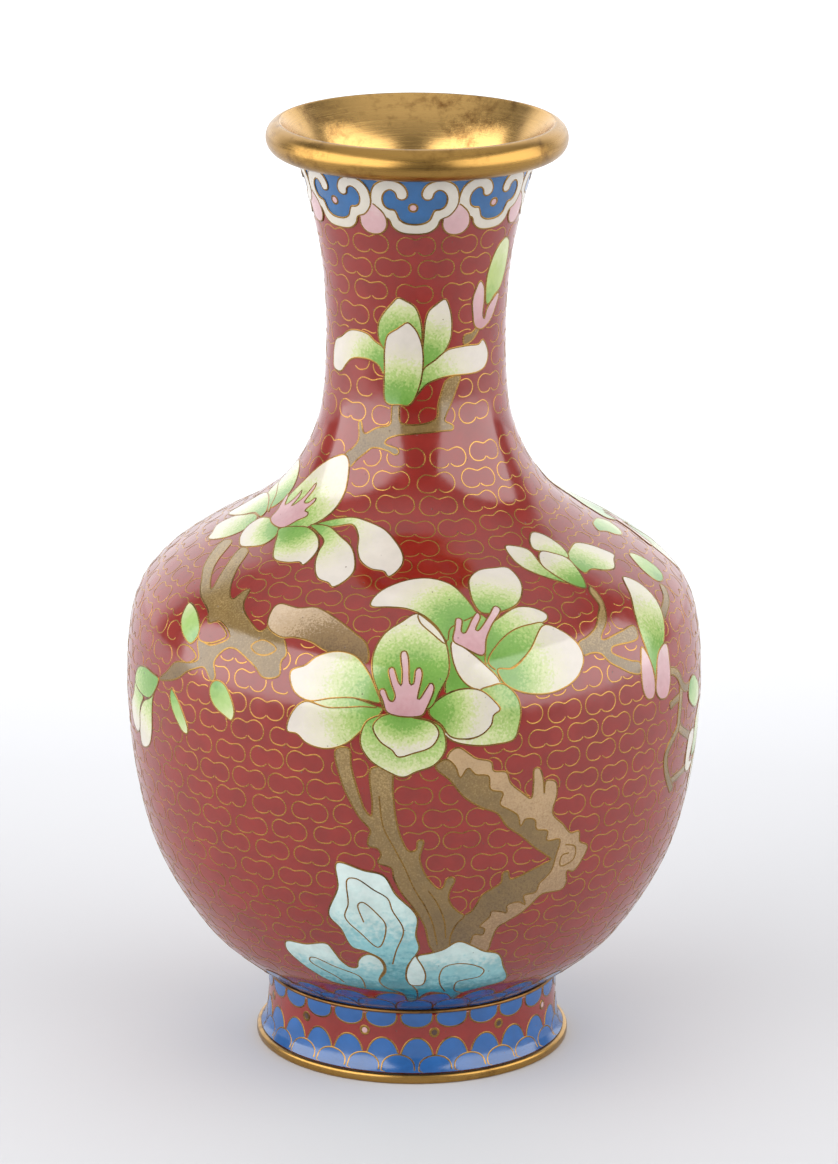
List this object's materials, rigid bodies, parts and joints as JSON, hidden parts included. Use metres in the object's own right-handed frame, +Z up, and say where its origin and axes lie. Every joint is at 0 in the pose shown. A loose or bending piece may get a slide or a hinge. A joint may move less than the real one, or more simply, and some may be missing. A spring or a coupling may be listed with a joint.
{
  "type": "cloisonne vase",
  "caption": "Round-bellied enamelled copper vase with a slim flared neck, brass mouth ring and ring foot, for holding stems or for display.",
  "frame": {"origin": "centre of the foot ring's underside, on the surface that the vase stands on", "axes": "+Z up along the vase's turning axis; -Y faces the viewer, through the middle of the flower picture; +X to the viewer's right"},
  "size_m": [0.1234, 0.1234, 0.2031],
  "materials": {
    "copper": "spun, oxidised copper",
    "gilt_copper": "gilded copper, satin",
    "brass": "turned and lacquered brass, fine circular scratches",
    "red_enamel": "glossy fired glass enamel, polished flush",
    "blue_enamel": "glossy fired glass enamel",
    "white_enamel": "glossy fired glass enamel",
    "petal_enamel": "glossy fired glass enamel, shaded from cream to green",
    "leaf_enamel": "glossy fired glass enamel, shaded from cream to green",
    "pink_enamel": "glossy fired glass enamel",
    "aqua_enamel": "glossy fired glass enamel, shaded from pale aqua to teal",
    "brown_enamel": "glossy fired glass enamel, speckled",
    "tan_enamel": "glossy fired glass enamel, speckled",
    "teal_enamel": "glossy fired glass enamel, one plain coat"
  },
  "bodies": {
    "root": {"base_enamel": "teal_enamel", "belly_scallop_band": "blue_enamel", "branch_back": "brown_enamel", "branch_left": "tan_enamel", "branch_neck": "brown_enamel", "branch_right": "brown_enamel", "bud_left": "petal_enamel", "bud_neck": "pink_enamel", "bud_right": "pink_enamel", "collar_drop_1": "pink_enamel", "collar_drop_2": "pink_enamel", "collar_drop_3": "pink_enamel", "collar_drop_4": "pink_enamel", "collar_drop_5": "pink_enamel", "collar_drop_6": "pink_enamel", "collar_drop_7": "pink_enamel", "collar_drop_8": "pink_enamel", "collar_ground": "blue_enamel", "counter_enamel": "teal_enamel", "foot_ground": "red_enamel", "foot_rim": "brass", "foot_scallop_band_lower": "blue_enamel", "foot_scallop_band_upper": "blue_enamel", "foot_skirt": "copper", "leaf_1": "leaf_enamel", "leaf_2": "leaf_enamel", "leaf_3": "leaf_enamel", "leaf_4": "leaf_enamel", "leaf_5": "leaf_enamel", "leaf_6": "leaf_enamel", "lower_body_shell": "copper", "magnolia_back": "petal_enamel", "magnolia_behind": "petal_enamel", "magnolia_centre": "petal_enamel", "magnolia_east": "petal_enamel", "magnolia_left": "petal_enamel", "magnolia_neck": "petal_enamel", "magnolia_right": "petal_enamel", "mouth_ring": "brass", "red_ground": "red_enamel", "red_pocket_1": "red_enamel", "red_pocket_2": "red_enamel", "red_pocket_3": "red_enamel", "red_pocket_4": "red_enamel", "rock_left": "aqua_enamel", "rock_right": "aqua_enamel", "rock_tall": "aqua_enamel", "ruyi_head_1": "white_enamel", "ruyi_head_2": "white_enamel", "ruyi_head_3": "white_enamel", "ruyi_head_4": "white_enamel", "ruyi_head_5": "white_enamel", "ruyi_head_6": "white_enamel", "ruyi_head_7": "white_enamel", "ruyi_head_8": "white_enamel", "seam_wire": "gilt_copper", "trunk_bark": "tan_enamel", "trunk_heart": "brown_enamel", "trunk_main": "brown_enamel", "upper_body_shell": "gilt_copper"}
  },
  "joints": []
}
